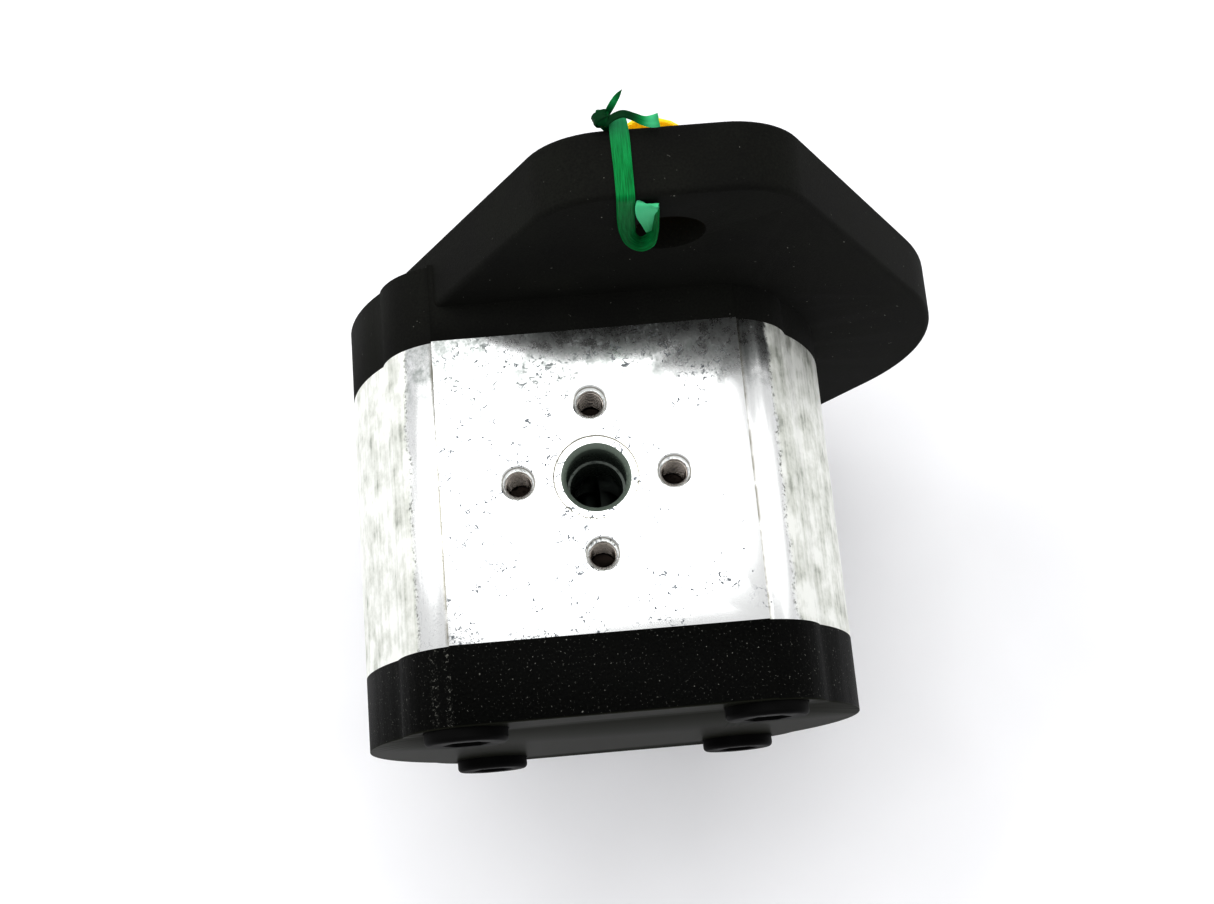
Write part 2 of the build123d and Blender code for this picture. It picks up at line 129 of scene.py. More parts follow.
def meshObject(name, vertices, faces, material, smooth=True):
    mesh = bpy.data.meshes.new(name)
    mesh.from_pydata([tuple(v) for v in vertices], [], faces)
    mesh.validate()
    work = bmesh.new()
    work.from_mesh(mesh)
    bmesh.ops.recalc_face_normals(work, faces=work.faces)
    work.to_mesh(mesh)
    work.free()
    obj = bpy.data.objects.new(name, mesh)
    scene.collection.objects.link(obj)
    mesh.materials.append(material)
    if smooth:
        mesh.shade_smooth()
    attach(obj, "casing")
    return obj


# lengths in mm; a pair is where a mask starts and where it is full, or the outlet's size and the inlet's
aluminium = {
    # the film colour is also a painted reflection of the dark flange on the pad
    "pad": "#f4f5f5", "smudge": "#74787c", "filmAndReflection": "#a9adab", "corner": "#777a73",
    # the grime colour also paints shade: the ring line round each port and the outline round each tapped
    # hole's mouth
    "grimeAndShade": "#7d7a6c", "holeDark": "#1d1815", "seatStainAndShade": "#6d776e", "oil": "#434c45",
    # the seat colour above is partly painted shade in the port's entry
    "flankTones": [(0.34, "#adb0a8"), (0.43, "#d9dbd4"), (0.56, "#f4f5f1")], "blotchShare": 0.68,
    "padRoughness": 0.17, "flankRoughness": 0.5, "stainedMetallic": 0.25,
    "addedRoughness": {"marks": 0.3, "filmAndReflection": 0.16, "cloud": 0.12},
    "streak": 1.1, "streakStretch": 20, "streakDepth": 0.04,  # real die lines are finer than 1.1 mm
    "blotch": 7.0, "patch": 11.0, "fleck": 1.3, "speck": 5.5, "filmGrain": 2.6, "grit": 0.7,
    "patchLevel": (0.47, 0.54), "patchLean": -2.6,  # smudges gather on the pad's left
    "fleckLevel": (0.562, 0.59), "speckLevel": (0.05, 0.025), "offPadSmudge": 0.15,
    "padEdge": (29.5, 30.5), "flank": (35.4, 36.6), "wander": 3.0,
    "filmReflectionReach": (18.0, 5.0), "filmLevel": (0.4, 0.62),
    "cornerAt": 36.0, "cornerWidth": (0.55, 0.15), "gritLevel": (0.5, 0.64),
    "ring": (8.15, 12.6), "ringWidth": (0.2, 0.08), "ringStrength": 0.85,
    "circle": (15.0, 20.0), "mouth": (3.1, 4.1), "mouthShadeWidth": (0.18, 0.05), "mouthShadeStrength": 0.7,
    "entry": (6.8, 11.05), "entryDepth": 0.22, "oilDepth": (0.9, 5.0), "patternRadius": 27,
    "stepSide": (30.9, 30.1), "stepBeyond": 29, "stepDepth": 0.08, "stepLevel": (0.35, 0.55),
}


def makeExtrudedAluminium():
    # Extruded 6082 aluminium with milled port pads: mirror-soft pads, streaky flanks along the extrusion
    look = aluminium
    material, tree, place = newMaterial("extrudedAluminiumMilledPads")
    axes = addNode(tree, "SeparateXYZ", {}, {0: place})
    sideways = addNode(tree, "Math", {"operation": "SUBTRACT", 1: bodyCentre.x}, {0: axes.outputs["X"]})
    away = addNode(tree, "Math", {"operation": "ABSOLUTE"}, {0: sideways})
    lengthways = addNode(tree, "Math", {"operation": "SUBTRACT", 1: bodyCentre.y}, {0: axes.outputs["Y"]})
    level = addNode(tree, "Math", {"operation": "ABSOLUTE"}, {0: axes.outputs["Z"]})
    # streaks: noise pulled out along Y, the way the billet left the die
    stretched = addNode(tree, "Mapping", {"Scale": (1, 1 / look["streakStretch"], 1)}, {"Vector": place})
    streaks = addNode(
        tree, "TexNoise", {"Scale": perMm(look["streak"]), "Detail": 5, "Roughness": 0.6},
        {"Vector": stretched},
    )
    blotches = addNode(
        tree, "TexNoise", {"Scale": perMm(look["blotch"]), "Detail": 5, "Roughness": 0.65}, {"Vector": place}
    )
    # the flank's edge wanders a little
    wander = addNode(
        tree, "Math", {"operation": "MULTIPLY_ADD", 1: look["wander"] * mm, 2: -look["wander"] / 2 * mm},
        {0: blotches},
    )
    reach = addNode(tree, "Math", {"operation": "ADD"}, {0: away, 1: wander})
    start, full = look["flank"]
    flank = addNode(
        tree, "MapRange", {"interpolation_type": "SMOOTHSTEP", 1: start * mm, 2: full * mm}, {0: reach}
    )
    mottle = addNode(tree, "Mix", {0: look["blotchShare"]}, {2: streaks, 3: blotches})
    flankTone = addNode(tree, "ValToRGB", {"stops": look["flankTones"]}, {0: mottle})
    # handling smudges on the pad: short dark flecks gathered in loose patches
    patches = addNode(
        tree, "TexNoise", {"noise_dimensions": "4D", "W": 3.1, "Scale": perMm(look["patch"]), "Detail": 2},
        {"Vector": place},
    )
    leftward = addNode(
        tree, "Math", {"operation": "MULTIPLY_ADD", 1: look["patchLean"]}, {0: sideways, 2: patches}
    )
    start, full = look["patchLevel"]
    gathered = addNode(tree, "MapRange", {1: start, 2: full}, {0: leftward})
    flecks = addNode(
        tree, "TexNoise", {"Scale": perMm(look["fleck"]), "Detail": 4, "Roughness": 0.72, "Distortion": 1.4},
        {"Vector": place},
    )
    start, full = look["fleckLevel"]
    fleckShape = addNode(tree, "MapRange", {1: start, 2: full}, {0: flecks})
    start, full = look["padEdge"]
    onPad = addNode(
        tree, "MapRange", {1: start * mm, 2: full * mm, 3: 1.0, 4: look["offPadSmudge"]}, {0: away}
    )
    gathered = addNode(tree, "Math", {"operation": "MULTIPLY"}, {0: gathered, 1: onPad})
    smudges = addNode(tree, "Math", {"operation": "MULTIPLY"}, {0: gathered, 1: fleckShape})
    specks = addNode(
        tree, "TexVoronoi", {"Scale": perMm(look["speck"]), "Randomness": 1.0}, {"Vector": place}
    )
    start, full = look["speckLevel"]
    dot = addNode(tree, "MapRange", {1: start, 2: full}, {0: specks.outputs["Distance"]})
    marks = addNode(tree, "Math", {"operation": "MAXIMUM", "use_clamp": True}, {0: smudges, 1: dot})
    padTone = addNode(
        tree, "Mix", {"data_type": "RGBA", 6: linear(look["pad"]), 7: linear(look["smudge"])}, {0: marks}
    )
    # thin mottled oil film on the pad where it meets the flange, darkened as a painted reflection of the
    # dark flange
    start, full = look["filmReflectionReach"]
    filmReflectionPlace = addNode(
        tree, "MapRange",
        {"interpolation_type": "SMOOTHSTEP", 1: housingHigh.y - start * mm, 2: housingHigh.y - full * mm},
        {0: axes.outputs["Y"]},
    )
    filmNoise = addNode(
        tree, "TexNoise",
        {"noise_dimensions": "4D", "W": 7.7, "Scale": perMm(look["filmGrain"]), "Detail": 6,
         "Roughness": 0.7},
        {"Vector": place},
    )
    start, full = look["filmLevel"]
    filmShape = addNode(tree, "MapRange", {1: start, 2: full}, {0: filmNoise})
    filmAndReflection = addNode(tree, "Math", {"operation": "MULTIPLY"}, {0: filmReflectionPlace, 1: filmShape})
    padTone = addNode(
        tree, "Mix", {"data_type": "RGBA", 7: linear(look["filmAndReflection"])}, {0: filmAndReflection, 6: padTone.outputs[2]}
    )
    tone = addNode(tree, "Mix", {"data_type": "RGBA"}, {0: flank, 6: padTone.outputs[2], 7: flankTone})
    # speckled dark line where the flat shoulder turns into the round flank
    offLine = addNode(tree, "Math", {"operation": "SUBTRACT", 1: look["cornerAt"] * mm}, {0: reach})
    offLine = addNode(tree, "Math", {"operation": "ABSOLUTE"}, {0: offLine})
    start, full = look["cornerWidth"]
    cornerLine = addNode(tree, "MapRange", {1: start * mm, 2: full * mm}, {0: offLine})
    grit = addNode(
        tree, "TexNoise", {"Scale": perMm(look["grit"]), "Detail": 4, "Roughness": 0.75}, {"Vector": place}
    )
    start, full = look["gritLevel"]
    speckled = addNode(tree, "MapRange", {1: start, 2: full}, {0: grit})
    cornerMask = addNode(tree, "Math", {"operation": "MULTIPLY"}, {0: cornerLine, 1: speckled})
    tone = addNode(
        tree, "Mix", {"data_type": "RGBA", 7: linear(look["corner"])}, {0: cornerMask, 6: tone.outputs[2]}
    )
    # each port's sizes: the inlet's hold below zero
    below = addNode(tree, "Math", {"operation": "LESS_THAN", 1: 0.0}, {0: axes.outputs["Z"]})
    size = {}
    for key in ("ring", "entry", "circle", "mouth"):
        outlet, inlet = look[key]
        size[key] = addNode(tree, "MapRange", {3: outlet * mm, 4: inlet * mm}, {0: below})
    # dark line turned round the port, at a distance from its axis: painted shade at the edge of a step
    flat = addNode(tree, "CombineXYZ", {}, {0: sideways, 1: lengthways})
    radius = addNode(tree, "VectorMath", {"operation": "LENGTH"}, {0: flat}).outputs["Value"]
    offRing = addNode(tree, "Math", {"operation": "SUBTRACT"}, {0: radius, 1: size["ring"]})
    offRing = addNode(tree, "Math", {"operation": "ABSOLUTE"}, {0: offRing})
    start, full = look["ringWidth"]
    ringLineShade = addNode(
        tree, "MapRange", {1: start * mm, 2: full * mm, 4: look["ringStrength"]}, {0: offRing}
    )
    # painted shade round each tapped hole, a dark outline at its mouth: the four holes fold on to one, whose
    # centre is on the bolt circle
    endways = addNode(tree, "Math", {"operation": "ABSOLUTE"}, {0: lengthways})
    far = addNode(tree, "Math", {"operation": "MAXIMUM"}, {0: away, 1: endways})
    near = addNode(tree, "Math", {"operation": "MINIMUM"}, {0: away, 1: endways})
    offCircle = addNode(tree, "Math", {"operation": "SUBTRACT"}, {0: far, 1: size["circle"]})
    folded = addNode(tree, "CombineXYZ", {}, {0: offCircle, 1: near})
    fromHole = addNode(tree, "VectorMath", {"operation": "LENGTH"}, {0: folded}).outputs["Value"]
    offMouth = addNode(tree, "Math", {"operation": "SUBTRACT"}, {0: fromHole, 1: size["mouth"]})
    offMouth = addNode(tree, "Math", {"operation": "ABSOLUTE"}, {0: offMouth})
    start, full = look["mouthShadeWidth"]
    mouthShade = addNode(tree, "MapRange", {1: start * mm, 2: full * mm, 4: look["mouthShadeStrength"]}, {0: offMouth})
    # stained seat just inside the port's entry; its dark green-grey is partly painted shade
    inEntry = addNode(tree, "Math", {"operation": "LESS_THAN"}, {0: radius, 1: size["entry"]})
    entryFloor = housingHigh.z - look["entryDepth"] * mm
    sunkEntry = addNode(tree, "Math", {"operation": "LESS_THAN", 1: entryFloor}, {0: level})
    seatStainAndShade = addNode(tree, "Math", {"operation": "MULTIPLY"}, {0: inEntry, 1: sunkEntry})
    # oil and shadow darken the ports and tapped holes below the pad
    start, full = look["oilDepth"]
    sunk = addNode(
        tree, "MapRange", {1: housingHigh.z - start * mm, 2: housingHigh.z - full * mm}, {0: level}
    )
    inPattern = addNode(tree, "Math", {"operation": "LESS_THAN", 1: look["patternRadius"] * mm}, {0: radius})
    holes = addNode(tree, "Math", {"operation": "MULTIPLY"}, {0: inPattern, 1: sunk})
    oily = addNode(tree, "Math", {"operation": "MULTIPLY"}, {0: inEntry, 1: sunk})
    # broken darker tone in the small step beside each pad
    start, full = look["stepSide"]
    stepSide = addNode(tree, "MapRange", {1: start * mm, 2: full * mm}, {0: away})
    stepTop = housingHigh.z - look["stepDepth"] * mm
    stepDown = addNode(tree, "Math", {"operation": "LESS_THAN", 1: stepTop}, {0: level})
    beyond = addNode(tree, "Math", {"operation": "GREATER_THAN", 1: look["stepBeyond"] * mm}, {0: away})
    stepMask = addNode(tree, "Math", {"operation": "MULTIPLY"}, {0: stepSide, 1: stepDown})
    stepHere = addNode(tree, "Math", {"operation": "MULTIPLY"}, {0: stepMask, 1: beyond})
    start, full = look["stepLevel"]
    broken = addNode(tree, "MapRange", {1: start, 2: full, 3: 0.3, 4: 1.0}, {0: blotches})
    stepDarkening = addNode(tree, "Math", {"operation": "MULTIPLY"}, {0: stepHere, 1: broken})
    # one grey for the step's darker tone and for the painted shade of the ring line and the hole mouths
    grimeAndShade = addNode(tree, "Math", {"operation": "MAXIMUM"}, {0: stepDarkening, 1: ringLineShade})
    grimeAndShade = addNode(tree, "Math", {"operation": "MAXIMUM"}, {0: grimeAndShade, 1: mouthShade})
    for mask, key in ((grimeAndShade, "grimeAndShade"), (holes, "holeDark"), (seatStainAndShade, "seatStainAndShade"), (oily, "oil")):
        tone = addNode(
            tree, "Mix", {"data_type": "RGBA", 7: linear(look[key])}, {0: mask, 6: tone.outputs[2]}
        )
    # the milled pad is smoother than the skin that the die left; smudges, film and cloudiness roughen it
    rough = addNode(tree, "MapRange", {3: look["padRoughness"], 4: look["flankRoughness"]}, {0: flank})
    for key, mask in (("marks", marks), ("filmAndReflection", filmAndReflection), ("cloud", blotches)):
        added = look["addedRoughness"][key]
        rough = addNode(tree, "Math", {"operation": "MULTIPLY_ADD", 1: added}, {0: mask, 2: rough})
    height = addNode(tree, "Math", {"operation": "MULTIPLY"}, {0: streaks, 1: flank})
    bump = addNode(
        tree, "Bump", {"Strength": 0.35, "Distance": look["streakDepth"] * mm}, {"Height": height}
    )
    # the port is stained dull by oil
    stained = addNode(tree, "Math", {"operation": "MAXIMUM"}, {0: seatStainAndShade, 1: oily})
    bare = addNode(tree, "MapRange", {3: 1.0, 4: look["stainedMetallic"]}, {0: stained})
    finishMaterial(
        tree, {}, {"Base Color": tone.outputs[2], "Metallic": bare, "Roughness": rough, "Normal": bump}
    )
    return material


castIron = {
    "tones": [(0.16, "#0f0f0d"), (0.36, "#1a1b17")], "scratch": "#8f8f88", "scratchLevel": (0.735, 0.78),
    "roughness": 0.74, "specular": 0.11, "grain": 0.45, "grainDepth": 0.1, "cloud": 14, "nick": 0.9,  # in mm
}


def makePhosphatedIron():
    # Black phosphated grey iron: flat, dry black with the fine grain of a sand casting and pale nicks
    look = castIron
    material, tree, place = newMaterial("blackPhosphatedCastIron")
    grain = addNode(
        tree, "TexNoise", {"Scale": perMm(look["grain"]), "Detail": 6, "Roughness": 0.6}, {"Vector": place}
    )
    cloud = addNode(tree, "TexNoise", {"Scale": perMm(look["cloud"]), "Detail": 4}, {"Vector": place})
    blend = addNode(tree, "Math", {"operation": "MULTIPLY"}, {0: grain, 1: cloud})
    tone = addNode(tree, "ValToRGB", {"stops": look["tones"]}, {0: blend})
    nicks = addNode(
        tree, "TexNoise", {"Scale": perMm(look["nick"]), "Detail": 2, "Roughness": 0.8, "Distortion": 0.6},
        {"Vector": place},
    )
    start, full = look["scratchLevel"]
    nickShape = addNode(tree, "MapRange", {1: start, 2: full}, {0: nicks})
    scuffed = addNode(
        tree, "Mix", {"data_type": "RGBA", 7: linear(look["scratch"])}, {0: nickShape, 6: tone}
    )
    # the gloss drifts a little from place to place
    rough = addNode(tree, "MapRange", {3: look["roughness"] - 0.08, 4: look["roughness"] + 0.1}, {0: cloud})
    bump = addNode(tree, "Bump", {"Strength": 0.55, "Distance": look["grainDepth"] * mm}, {"Height": grain})
    finishMaterial(
        tree, {"Metallic": 0.0, "Specular IOR Level": look["specular"]},
        {"Base Color": scuffed.outputs[2], "Roughness": rough, "Normal": bump},
    )
    return material


# lengths in mm; a pair is where a mask starts and where it is full
coverIron = {
    "tones": [(0.35, "#050505"), (0.63, "#0d0e0c"), (0.71, "#8a8a84")],  # the last one is the glints
    # the wear colour is also painted glints along the step edges
    "endFace": "#20211b", "wearAndGlint": "#74746e", "roughness": 0.5, "endRoughness": 0.36,
    "specular": 0.035, "endSpecular": 0.006, "endDepth": (0.35, 0.15),
    "bandHalf": (34, 31), "padRelief": 0.25, "pebble": 0.8, "pebbleDepth": 0.22, "grain": 0.5,
    "wearGlintLines": (30.6, 33.4), "wearWidth": (0.9, 0.2), "wearLevel": (0.57, 0.66), "wearStrength": 0.8,
    "wearGrain": 0.7,
}


def makeCoverIron():
    # Black painted cast cover: pebbly and glittering on the cast sides, smooth on the milled end face
    look = coverIron
    material, tree, place = newMaterial("blackPaintedCastCover")
    axes = addNode(tree, "SeparateXYZ", {}, {0: place})
    # milled end face, and rough only on the flat cast band between the two corner pads
    start, full = look["endDepth"]
    endFace = addNode(
        tree, "MapRange", {1: coverLow.y + start * mm, 2: coverLow.y + full * mm}, {0: axes.outputs["Y"]}
    )
    sideways = addNode(tree, "Math", {"operation": "SUBTRACT", 1: bodyCentre.x}, {0: axes.outputs["X"]})
    away = addNode(tree, "Math", {"operation": "ABSOLUTE"}, {0: sideways})
    start, full = look["bandHalf"]
    castBand = addNode(
        tree, "MapRange", {1: start * mm, 2: full * mm, 3: look["padRelief"], 4: 1.0}, {0: away}
    )
    pebbles = addNode(
        tree, "TexVoronoi", {"Scale": perMm(look["pebble"]), "feature": "SMOOTH_F1"}, {"Vector": place}
    )
    grain = addNode(
        tree, "TexNoise", {"Scale": perMm(look["grain"]), "Detail": 5, "Roughness": 0.65}, {"Vector": place}
    )
    rugged = addNode(tree, "Math", {"operation": "ADD"}, {0: pebbles.outputs["Distance"], 1: grain})
    cast = addNode(tree, "Math", {"operation": "SUBTRACT", 0: 1.0, "use_clamp": True}, {1: endFace})
    strength = addNode(tree, "Math", {"operation": "MULTIPLY"}, {0: cast, 1: castBand})
    height = addNode(tree, "Math", {"operation": "MULTIPLY"}, {0: rugged, 1: strength})
    bump = addNode(tree, "Bump", {"Strength": 0.8, "Distance": look["pebbleDepth"] * mm}, {"Height": height})
    # the brightest grain spots take the last tone: painted glints
    toned = addNode(tree, "ValToRGB", {"stops": look["tones"]}, {0: grain}).outputs[0]
    # paint rubbed off in speckled lines down the left edge of the flat band, with painted glints where the
    # step edges there catch the light
    nicks = addNode(
        tree, "TexNoise",
        {"Scale": perMm(look["wearGrain"]), "Detail": 3, "Roughness": 0.75, "Distortion": 0.8},
        {"Vector": place},
    )
    start, full = look["wearLevel"]
    nickShape = addNode(tree, "MapRange", {1: start, 2: full, 4: look["wearStrength"]}, {0: nicks})
    start, full = look["wearWidth"]
    for line in look["wearGlintLines"]:
        off = addNode(tree, "Math", {"operation": "ADD", 1: line * mm}, {0: sideways})
        off = addNode(tree, "Math", {"operation": "ABSOLUTE"}, {0: off})
        strip = addNode(tree, "MapRange", {1: start * mm, 2: full * mm}, {0: off})
        wornAndGlinting = addNode(tree, "Math", {"operation": "MULTIPLY"}, {0: strip, 1: nickShape})
        toned = addNode(
            tree, "Mix", {"data_type": "RGBA", 7: linear(look["wearAndGlint"])}, {0: wornAndGlinting, 6: toned}
        ).outputs[2]
    end = addNode(tree, "Mix", {"data_type": "RGBA", 7: linear(look["endFace"])}, {0: endFace, 6: toned})
    rough = addNode(tree, "MapRange", {3: look["roughness"], 4: look["endRoughness"]}, {0: endFace})
    gloss = addNode(tree, "MapRange", {3: look["specular"], 4: look["endSpecular"]}, {0: endFace})
    finishMaterial(
        tree, {"Metallic": 0.0},
        {"Base Color": end.outputs[2], "Roughness": rough, "Specular IOR Level": gloss, "Normal": bump},
    )
    return material


# small turned, ground, cast and moulded pieces; grain and depth are the surface marks' size and height in mm
plainLooks = {
    # fresh tapped aluminium: bright ridges in the dark holes
    "tappedAluminiumThread": {
        "colour": "#cdc6bf", "roughness": 0.2, "metallic": 1.0, "grain": 0.4, "depth": 0.01,
    },
    # ground case-hardened steel: clean satin grey outside, dulled by oil inside
    "groundCaseHardenedSteel": {
        "colour": "#c3c5c7", "roughness": 0.34, "metallic": 1.0, "grain": 0.5, "depth": 0.002,
        "oiled": "#343936", "oiledBehind": flangeLow.y,
    },
    # oiled spring steel: dark grey with a soft gleam
    "oiledSpringSteel": {
        "colour": "#55575a", "roughness": 0.38, "metallic": 1.0, "grain": 0.4, "depth": 0.02,
    },
    # black oxide: dull black that shows no steel
    "blackOxideSteel": {
        "colour": "#0b0b0b", "roughness": 0.5, "metallic": 0.0, "grain": 0.35, "depth": 0.03,
        "specular": 0.05,
    },
    # die-cast aluminium: pale grey, cloudier than the housing
    "castBearingAluminium": {
        "colour": "#c9cac8", "roughness": 0.4, "metallic": 1.0, "grain": 0.6, "depth": 0.04,
    },
    # sintered bronze: warm brown with a fine porous grain
    "sinteredBronze": {
        "colour": "#a8763f", "roughness": 0.42, "metallic": 1.0, "grain": 0.3, "depth": 0.02,
    },
    # moulded nylon: even cream
    "mouldedNylonRing": {
        "colour": "#d8d4c6", "roughness": 0.5, "metallic": 0.0, "grain": 0.8, "depth": 0.02,
    },
}


def makePlain(name):
    # fine marks from the tool or mould, and a little cloudiness in the gloss
    look = plainLooks[name]
    material, tree, place = newMaterial(name)
    marks = addNode(
        tree, "TexNoise", {"Scale": perMm(look["grain"]), "Detail": 4, "Roughness": 0.6}, {"Vector": place}
    )
    cloud = addNode(tree, "TexNoise", {"Scale": perMm(6), "Detail": 3}, {"Vector": place})
    value = addNode(tree, "MapRange", {1: 0.3, 2: 0.7, 3: 0.88, 4: 1.08}, {0: marks})
    surface = addNode(tree, "HueSaturation", {"Color": linear(look["colour"])}, {"Value": value}).outputs[0]
    if "oiledBehind" in look:
        # black oil coats everything that runs inside the casing
        axes = addNode(tree, "SeparateXYZ", {}, {0: place})
        edge = look["oiledBehind"]
        inside = addNode(tree, "MapRange", {1: edge, 2: edge - 2 * mm}, {0: axes.outputs["Y"]})
        surface = addNode(
            tree, "Mix", {"data_type": "RGBA", 7: linear(look["oiled"])}, {0: inside, 6: surface}
        ).outputs[2]
    glossy, dull = look["roughness"] - 0.05, look["roughness"] + 0.07
    rough = addNode(tree, "MapRange", {1: 0.3, 2: 0.7, 3: glossy, 4: dull}, {0: cloud})
    bump = addNode(tree, "Bump", {"Strength": 0.3, "Distance": look["depth"] * mm}, {"Height": marks})
    finishMaterial(
        tree, {"Metallic": look["metallic"], "Specular IOR Level": look.get("specular", 0.5)},
        {"Base Color": surface, "Roughness": rough, "Normal": bump},
    )
    return material


ribbonLook = {
    "tones": [(0.3, "#06602f"), (0.5, "#087d41"), (0.75, "#1a9a58")],
    # the pale colour is a painted highlight where light falls on the ribbon, the dark one painted shade
    "stretched": "#5cc795", "paintedShade": "#062b15",
    "roughness": 0.4, "specular": 0.06, "lineDepth": 0.05, "glow": 0.12, "glowDepth": 0.3,  # depths in mm
}


def makeRibbonPlastic():
    # Drawn polypropylene ribbon: satin green with lengthwise lines, with painted highlights and painted
    # shade set along its length
    look = ribbonLook
    material, tree = newMaterial("drawnPolypropyleneRibbon")[:2]
    across = addNode(tree, "Attribute", {"attribute_name": "across"}).outputs["Fac"]
    along = addNode(tree, "Attribute", {"attribute_name": "along"}).outputs["Fac"]
    strain = addNode(tree, "Attribute", {"attribute_name": "strain"}).outputs["Fac"]
    # lengthwise lines about a quarter of a millimetre apart, from the drawing of the film
    grid = addNode(tree, "CombineXYZ", {}, {0: across, 1: along})
    lines = addNode(tree, "TexNoise", {"Scale": 3.5, "Detail": 4, "Roughness": 0.65}, {"Vector": grid})
    tone = addNode(tree, "ValToRGB", {"stops": look["tones"]}, {0: lines}).outputs[0]
    # 1 is the pale painted highlight and -1 the dark painted shade
    for limit, key in ((1.0, "stretched"), (-1.0, "paintedShade")):
        shadingMask = addNode(tree, "MapRange", {1: 0.0, 2: limit}, {0: strain})
        tone = addNode(
            tree, "Mix", {"data_type": "RGBA", 7: linear(look[key])}, {0: shadingMask, 6: tone}
        ).outputs[2]
    bump = addNode(tree, "Bump", {"Strength": 0.4, "Distance": look["lineDepth"] * mm}, {"Height": lines})
    finishMaterial(
        tree,
        {"Roughness": look["roughness"], "IOR": 1.49, "Specular IOR Level": look["specular"],
         "Subsurface Weight": look["glow"], "Subsurface Radius": (0.2, 1.0, 0.4),
         "Subsurface Scale": look["glowDepth"] * mm},
        {"Base Color": tone, "Normal": bump},
    )
    return material


tagLook = {
    "orange": "#ffae0d", "yellow": "#ffc61a", "roughness": 0.5, "translucency": 0.9, "paintedGlow": 0.35,
    "fibre": 1.2, "fibreDepth": 0.03, "lightDepth": 3,  # in mm
}


def makeTagCard():
    # Yellow tag card: light passes through it, and a little emission adds a painted glow to its shaded face
    look = tagLook
    material, tree, place = newMaterial("coatedTagCard")
    fibres = addNode(tree, "TexNoise", {"Scale": perMm(look["fibre"]), "Detail": 5}, {"Vector": place})
    tone = addNode(tree, "ValToRGB", {"stops": [(0.3, look["orange"]), (0.55, look["yellow"])]}, {0: fibres})
    bump = addNode(tree, "Bump", {"Strength": 0.2, "Distance": look["fibreDepth"] * mm}, {"Height": fibres})
    finishMaterial(
        tree,
        {"Roughness": look["roughness"], "Subsurface Weight": look["translucency"],
         "Subsurface Scale": look["lightDepth"] * mm, "Subsurface Radius": (1.0, 0.75, 0.1),
         "Emission Color": linear(look["yellow"]), "Emission Strength": look["paintedGlow"]},
        {"Base Color": tone, "Normal": bump},
    )
    return material


rubberLook = {
    "tones": [(0.3, "#141414"), (0.7, "#232322")], "roughness": 0.6, "bloom": 0.6, "bloomDepth": 0.03,
}


def makeRubber():
    # Moulded nitrile rubber: soft black with a fine moulded bloom
    look = rubberLook
    material, tree, place = newMaterial("mouldedNitrileRubber")
    bloom = addNode(tree, "TexNoise", {"Scale": perMm(look["bloom"]), "Detail": 4}, {"Vector": place})
    tone = addNode(tree, "ValToRGB", {"stops": look["tones"]}, {0: bloom})
    bump = addNode(tree, "Bump", {"Strength": 0.25, "Distance": look["bloomDepth"] * mm}, {"Height": bloom})
    finishMaterial(tree, {"Roughness": look["roughness"]}, {"Base Color": tone, "Normal": bump})
    return material


paint(makeExtrudedAluminium(), "gear_housing")
paint(makePhosphatedIron(), "mounting_flange")
paint(makeCoverIron(), "rear_cover")
plain = {name: makePlain(name) for name in plainLooks}
nitrile = makeRubber()
ribbonPlastic = makeRibbonPlastic()
tagCard = makeTagCard()

shafts = ("drive_gear_shaft", "driven_gear_shaft", "shaft_key")
paint(plain["groundCaseHardenedSteel"], *shafts, "front_dowel_pins", "rear_dowel_pins")
paint(plain["oiledSpringSteel"], "seal_retaining_ring", "shaft_seal_spring")
paint(plain["blackOxideSteel"], "cover_screws")
paint(nitrile, "shaft_seal")
for end in ("front", "rear"):
    paint(plain["castBearingAluminium"], end + "_bearing_block")
    paint(plain["sinteredBronze"], end + "_drive_bush", end + "_driven_bush")
    paint(nitrile, end + "_pressure_seal", end + "_body_seal")
    paint(plain["mouldedNylonRing"], end + "_backup_ring")
print("materials ready:", len(bpy.data.materials))


# edge rounding of the CAD pieces, in mm
edgeBreaks = {"gear_housing": 0.15, "mounting_flange": 0.5, "rear_cover": 0.45, "cover_screws": 0.12}


def breakEdges(name, width):
    # every sharp machined or cast edge of the real piece is slightly rounded
    weld = nodes[name].modifiers.new("weldSeams", "WELD")
    weld.merge_threshold = 0.001 * mm  # closes the seams between CAD faces
    bevel = nodes[name].modifiers.new("edgeBreak", "BEVEL")
    bevel.width = width * mm
    bevel.segments = 2
    bevel.limit_method = "ANGLE"
    bevel.angle_limit = math.radians(35)
    bevel.use_clamp_overlap = True
    bevel.harden_normals = True
    nodes[name].data.shade_smooth()


# threads in the tapped port holes, in mm
threads = {
    "outlet_bolts": {"piece": "outlet_thread", "pitch": 1.0, "ridge": 0.14, "start": 1.5, "depth": 12.4},
    "inlet_bolts": {"piece": "inlet_thread", "pitch": 1.25, "ridge": 0.18, "start": 1.8, "depth": 12.4},
}


